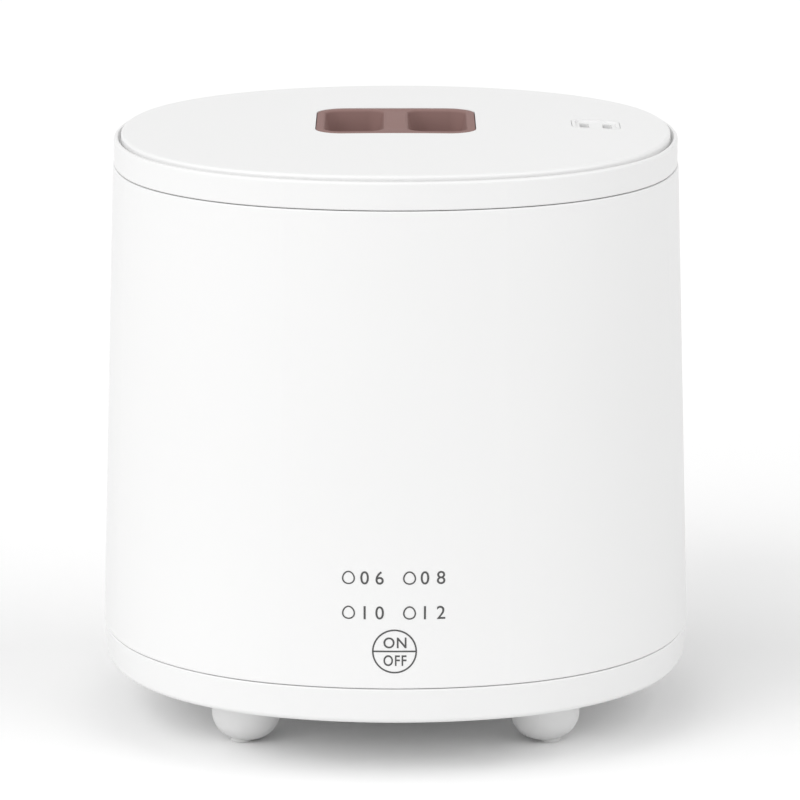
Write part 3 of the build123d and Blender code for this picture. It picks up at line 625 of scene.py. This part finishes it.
def lettering(work, text, centre_x, centre_z, height, width=None, weight=0.004):
    """Adds plain figures or letters, centred on a place, as flat ink: a width stretches them."""
    curve = bpy.data.curves.new("figures", "FONT")
    curve.body = text
    curve.offset = weight
    curve.space_character = letter_spacing
    carrier = bpy.data.objects.new("figures", curve)
    bpy.context.scene.collection.objects.link(carrier)
    graph = bpy.context.evaluated_depsgraph_get()
    flat = bpy.data.meshes.new_from_object(carrier.evaluated_get(graph))
    xs = [v.co.x for v in flat.vertices]
    ys = [v.co.y for v in flat.vertices]
    scale_z = height / (max(ys) - min(ys))
    scale_x = width / (max(xs) - min(xs)) if width else scale_z
    middle_x, middle_y = (max(xs) + min(xs)) / 2, (max(ys) + min(ys)) / 2
    verts = []
    for v in flat.vertices:
        x = centre_x + (v.co.x - middle_x) * scale_x
        verts.append(work.verts.new((x, 0, centre_z + (v.co.y - middle_y) * scale_z)))
    for polygon in flat.polygons:
        work.faces.new([verts[i] for i in polygon.vertices])
    bpy.data.objects.remove(carrier)


def printed(name, work, face):
    """Turns flat ink into a thin film on the face that a function of x and level gives."""
    bmesh.ops.remove_doubles(work, verts=work.verts, dist=weld_reach)
    bmesh.ops.triangulate(work, faces=work.faces)
    bmesh.ops.recalc_face_normals(work, faces=work.faces)
    raised = bmesh.ops.extrude_face_region(work, geom=work.faces[:])
    for vert in (v for v in raised["geom"] if isinstance(v, bmesh.types.BMVert)):
        vert.co.y = ink_depth
    for vert in work.verts:
        vert.co.y += face(vert.co.x, vert.co.z) - ink_lift
    bmesh.ops.recalc_face_normals(work, faces=work.faces)
    mesh = bpy.data.meshes.new(name)
    work.to_mesh(mesh)
    work.free()
    return mesh


def ink_film(name, dark, light):
    """Printing ink: nearly matt, with the faint mottle of a pad print."""
    finish = Finish(name, IOR=1.5)
    mottle = finish.noise(ink_mottle_scale)
    finish.tint(mottle, dark, light)
    return finish.shade("Roughness", 0.42 + 0.16 * mottle)


ink = bmesh.new()
key_level = seam_level + key_rise
stroke(ink, oval(key_offset, key_level, 2 * key_radius, 2 * key_radius, count=128), key_line, closed=True)
stroke(ink, level_line(key_offset, key_radius, key_level, steps=8), key_line)
for word, rise in zip(("ON", "OFF"), word_rises):
    lettering(ink, word, word_offset, seam_level + rise, word_height, word_width, word_weight)
for row, rise in enumerate(mark_rises):
    for column, places in enumerate(mark_places):
        level = seam_level + rise
        stroke(ink, oval(places[0], level, *egg_size, egg_narrowing), mark_line, closed=True)
        for digit, x in zip(minutes[row][column], places[1:]):
            lettering(ink, digit, x, level, figure_height)
print_grey = ink_film("front_print_grey", (0.060, 0.060, 0.060), (0.078, 0.078, 0.078))
piece("front_print", printed("front_print", ink, front_at), "housing", print_grey)


# Egg rack: a white tray on five legs that stands on the water plate. A rounded lip is moulded
# round each of its five holes, so that the eggs don't rest on a sharp edge.

rack_top = 0.0692
egg_count = 5
egg_circle = 0.038
egg_hole = 0.0165
lip_width = 0.0011
lip_rise = 0.0009
lip_root = 0.0002             # how far the lip goes into the tray
lip_round = lip_width * 0.42

dress(white, "egg_rack")
lip_line = profile([
    (egg_hole, rack_top - lip_root, 0),
    (egg_hole, rack_top + lip_rise, lip_round),
    (egg_hole + lip_width, rack_top + lip_rise, lip_round),
    (egg_hole + lip_width, rack_top - lip_root, 0)], steps=5)
lip = skin("egg_lip", [circled(r, z) for r, z in lip_line], looped=True)
egg_spots = []
for i in range(egg_count):
    turn = math.pi / 2 + 2 * math.pi * i / egg_count
    egg_spots.append(Matrix.Translation((egg_circle * math.cos(turn), egg_circle * math.sin(turn), 0)))
egg_lips = repeated("egg_rack_lips", (lip, egg_spots))
piece("egg_rack_lips", soften(egg_lips), "rack", white)


# Steaming bowl: spun from thin stainless sheet, with a flat rim that hangs on the chamber's step
# and a row of small holes in it that let the steam pass.

bowl_steel = rolled_steel("bowl_steel", (0.56, 0.56, 0.55), (0.72, 0.72, 0.71), gloss=0.20)
dress(bowl_steel, "steaming_bowl")


# Measuring cup: clear moulded plastic, with a printed line and figure for each number of eggs.
# A short steel pin in the well under its floor pricks the eggs before cooking.

cup_low, cup_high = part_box("measuring_cup")
cup_radius = cup_high[0]
cup_draft = math.radians(3.0)
scale_low = 0.0075
scale_step = 0.0032
scale_line = 0.0003
scale_half = 0.0035
scale_figure = 0.0019
haze_scale = 60.0

clear = Finish("cup_clear", IOR=plastic_ior, Transmission_Weight=0.94)
haze = clear.noise(haze_scale, detail=3.0)
clear.tint(haze, (0.93, 0.95, 0.96), (0.97, 0.98, 0.99))
clear.shade("Roughness", 0.05 + 0.09 * haze)
dress(clear, "measuring_cup")
dress(nickel, "piercing_pin")


def cup_face(x, level):
    """Where the front of the cup is, in Y."""
    radius = cup_radius - (cup_high[2] - level) * math.sin(cup_draft)
    return -math.sqrt(radius ** 2 - x ** 2)


scale_ink = bmesh.new()
for eggs in range(1, egg_count + 1):
    level = cup_low[2] + scale_low + scale_step * (eggs - 1)
    stroke(scale_ink, level_line(0.0, scale_half, level, steps=6), scale_line)
    lettering(scale_ink, str(eggs), scale_half + scale_figure, level, scale_figure)
cup_print = ink_film("cup_print_grey", (0.10, 0.10, 0.10), (0.13, 0.13, 0.13))
piece("cup_scale", printed("cup_scale", scale_ink, cup_face), "cup", cup_print)


# Lid: a white outer ring carries the domed top plate on a ledge inside its lip, and a pan closes it
# from below. Four screws go up through the pan, and a ribbed silicone ring seals the chamber's mouth.

liner_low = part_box("lid_liner")[0][2]
lid_screw_place = 0.036
lid_screw_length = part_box("lid_screws")[1][2] - liner_low
seal_low, seal_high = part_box("lid_seal")
seal_width = 0.005
seal_lip = 0.0012
seal_lip_count = 3
seal_edge = 0.0003
seal_web = 0.0005             # what joins the lips, under the seal's top
seal_flank = seal_lip * 0.2
seal_top_start = 0.001

dress(white, "lid_ring", "lid_top_plate", "steam_vent")
dress(chamber_white, "lid_liner")
dress(seal_rubber, "vent_grommet")
lid_screw = cross_screw(screw_radius, screw_head, lid_screw_length)
lid_spots = square_spots(lid_screw_place, lid_screw_place, liner_low)
lid_screws = repeated("lid_screws", (lid_screw, lid_spots))
piece("lid_screws_cut", soften(lid_screws), "lid", zinc_plate, ["lid_screws"])

seal_outer = seal_high[0]
seal_inner = seal_outer - seal_width
lip_spacing = (seal_width - seal_lip) / (seal_lip_count - 1)
seal_corners = [(seal_inner, seal_high[2], seal_edge)]
for i in range(seal_lip_count):
    start = seal_inner + lip_spacing * i
    end = start + seal_lip
    seal_corners += [(start, seal_low[2], seal_edge), (end, seal_low[2], seal_edge)]
    if i < seal_lip_count - 1:
        valley = seal_high[2] - seal_web
        seal_corners += [(end + seal_flank, valley, 0), (start + lip_spacing - seal_flank, valley, 0)]
seal_corners += [(seal_outer, seal_high[2], seal_edge), (seal_inner + seal_top_start, seal_high[2], 0)]
seal_line = profile(seal_corners, steps=4)
lid_seal = skin("lid_seal", [circled(r, z, count=192) for r, z in seal_line], looped=True)
piece("lid_seal_ribbed", soften(lid_seal), "lid", seal_rubber, ["lid_seal"])


# Grip: an insert moulded in dusty rose-brown plastic, flush with the dome. Its two pockets have soft
# edges, and thumb and finger pinch the bar that is left between them.

grip_size = (0.0429, 0.0415)
grip_corner = 0.0075
grip_rim = 0.0024
grip_bar = 0.0067
grip_end_rim = 0.0034
grip_edge = 0.0004
pocket_corner = 0.0046
pocket_depth = 0.0082
pocket_round = 0.0030
pocket_draft = 0.0010         # how much the walls lean in at the floor
pocket_edge = 0.0007
pocket_clear = 0.001          # how far a pocket's cutter stands out of the dome
edge_steps = 5                # rings of points round the grip's edge
dome_steps = 40               # rings from there to the middle
pocket_steps = 6              # rings round a pocket's floor and round its mouth
least_corner = 0.0002
grip_low, grip_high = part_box("lid_grip")
dome_half = 0.07427
dome_rise = 0.0024
dome_radius = (dome_half ** 2 + dome_rise ** 2) / (2 * dome_rise)


def dome(x, y):
    """The level of the lid's domed top."""
    return grip_high[2] - dome_radius + math.sqrt(dome_radius ** 2 - x ** 2 - y ** 2)


def sized(size, corner, change, centre=(0, 0)):
    """The plan of a rounded rectangle grown or shrunk by a change all round."""
    width, length = size[0] + 2 * change, size[1] + 2 * change
    return corners_of(width, length, max(corner + change, least_corner), centre, steps=10)


grip_rings = [[(x, y, grip_low[2]) for x, y in sized(grip_size, grip_corner, 0)]]
for k in range(edge_steps + 1):
    turn = math.pi / 2 * k / edge_steps
    shrink = grip_edge * (1 - math.cos(turn))
    sink = grip_edge * (1 - math.sin(turn))
    grip_rings.append([(x, y, dome(x, y) - sink) for x, y in sized(grip_size, grip_corner, -shrink)])
rim_plan = sized(grip_size, grip_corner, -grip_edge)
for k in range(1, dome_steps):
    share = 1 - k / dome_steps
    grip_rings.append([(x * share, y * share, dome(x * share, y * share)) for x, y in rim_plan])
grip_mesh = skin("lid_grip", grip_rings)
pocket_size = ((grip_size[0] - grip_bar) / 2 - grip_rim, grip_size[1] - 2 * grip_end_rim)
pocket_floor = grip_high[2] - pocket_depth
pockets = []
for side in (-1, 1):
    centre = (side * (grip_bar + pocket_size[0]) / 2, 0)
    rings = []
    for k in range(pocket_steps + 1):
        turn = math.pi / 2 * k / pocket_steps
        shrink = pocket_round * (1 - math.sin(turn)) + pocket_draft
        level = pocket_floor + pocket_round * (1 - math.cos(turn))
        rings.append([(x, y, level) for x, y in sized(pocket_size, pocket_corner, -shrink, centre)])
    for k in range(pocket_steps + 1):
        turn = math.pi / 2 * k / pocket_steps
        grow = pocket_edge * (1 - math.cos(turn))
        sink = pocket_edge * (1 - math.sin(turn))
        rings.append([(x, y, dome(x, y) - sink) for x, y in sized(pocket_size, pocket_corner, grow, centre)])
    mouth = sized(pocket_size, pocket_corner, pocket_edge, centre)
    rings.append([(x, y, dome(x, y) + pocket_clear) for x, y in mouth])
    pockets.append(skin("pocket", rings))
grip_rose = moulded("grip_rose_brown", (0.262, 0.163, 0.150), (0.280, 0.177, 0.163),
                    gloss=0.55, grain_depth=0.00004)
grip_rose.shade("Specular IOR Level", 0.05)
grip_mesh = soften(carved("lid_grip", grip_mesh, pockets), degrees=40)
piece("lid_grip_soft", grip_mesh, "lid", grip_rose, ["lid_grip"])


# Photographer's table: a pale sheet that fades into a white background, under broad soft light.
# The camera stands where the photograph was taken, a long lens looking slightly down.

camera_distance = 1.34265
camera_rise = 0.35892         # above the lower seam
camera_pitch = math.radians(12.572)
focal_pixels = 5020.2
frame_pixels = 800.0
sensor_width = 36.0
shift_pixels = 4.26
far_limit = 50.0

scene = bpy.context.scene
scene.view_settings.view_transform = "Standard"
view = bpy.data.cameras.new("camera")
view.sensor_width = sensor_width
view.lens = focal_pixels / frame_pixels * sensor_width
view.shift_x = shift_pixels / frame_pixels
view.clip_end = far_limit
camera = bpy.data.objects.new("camera", view)
camera.location = (0.0, -camera_distance, seam_level + camera_rise)
camera.rotation_euler = (math.pi / 2 - camera_pitch, 0.0, 0.0)
scene.collection.objects.link(camera)
scene.camera = camera

table_half = 15.0
sheet_seen = 1.0              # how pale the sheet looks to the camera
sheet_lit = 0.90              # how pale it is to the light that it throws back

table_mesh = bpy.data.meshes.new("table")
table_corners = [(table_half * sx, table_half * sy, 0) for sx, sy in ((-1, -1), (1, -1), (1, 1), (-1, 1))]
table_mesh.from_pydata(table_corners, [], [(0, 1, 2, 3)])
table = bpy.data.objects.new("table", table_mesh)
scene.collection.objects.link(table)
paper = Finish("table_paper", Roughness=0.9, Specular_IOR_Level=0.0)
seen = paper.node("ShaderNodeLightPath", output="Is Camera Ray")
paper.tint(seen, (sheet_lit,) * 3, (sheet_seen,) * 3)
table_mesh.materials.append(paper.material)

sky_level = 0.525
backdrop_level = 1.0
sky_white = (1.0, 1.0, 1.0, 1.0)
world = bpy.data.worlds.new("studio")
scene.world = world
world.use_nodes = True
sky = world.node_tree
paths = sky.nodes.new("ShaderNodeLightPath")
seen_ray = paths.outputs["Is Camera Ray"]
for ray in ("Is Transmission Ray", "Is Glossy Ray"):
    either = sky.nodes.new("ShaderNodeMath")
    either.operation = "MAXIMUM"
    sky.links.new(seen_ray, either.inputs[0])
    sky.links.new(paths.outputs[ray], either.inputs[1])
    seen_ray = either.outputs[0]
plain = sky.nodes["Background"]
backdrop = sky.nodes.new("ShaderNodeBackground")
for background, strength in ((plain, sky_level), (backdrop, backdrop_level)):
    background.inputs["Color"].default_value = sky_white
    background.inputs["Strength"].default_value = strength
mix = sky.nodes.new("ShaderNodeMixShader")
for socket, source in enumerate((seen_ray, plain.outputs[0], backdrop.outputs[0])):
    sky.links.new(source, mix.inputs[socket])
sky.links.new(mix.outputs[0], sky.nodes["World Output"].inputs[0])


def soft_sun(name, azimuth, elevation, level, spread):
    """A very broad light from a direction: azimuth in degrees from the front to the right, level on white."""
    light = bpy.data.lights.new(name, "SUN")
    light.energy = level * math.pi
    light.angle = math.radians(spread)
    lamp = bpy.data.objects.new(name, light)
    turn, rise = math.radians(azimuth), math.radians(elevation)
    towards = Vector((math.sin(turn) * math.cos(rise), -math.cos(turn) * math.cos(rise), math.sin(rise)))
    lamp.rotation_euler = towards.to_track_quat("Z", "Y").to_euler()
    scene.collection.objects.link(lamp)


soft_sun("left", azimuth=-70, elevation=40, level=0.285, spread=60)
soft_sun("front_left", azimuth=-35, elevation=30, level=0.29, spread=50)
soft_sun("right", azimuth=70, elevation=35, level=0.30, spread=60)
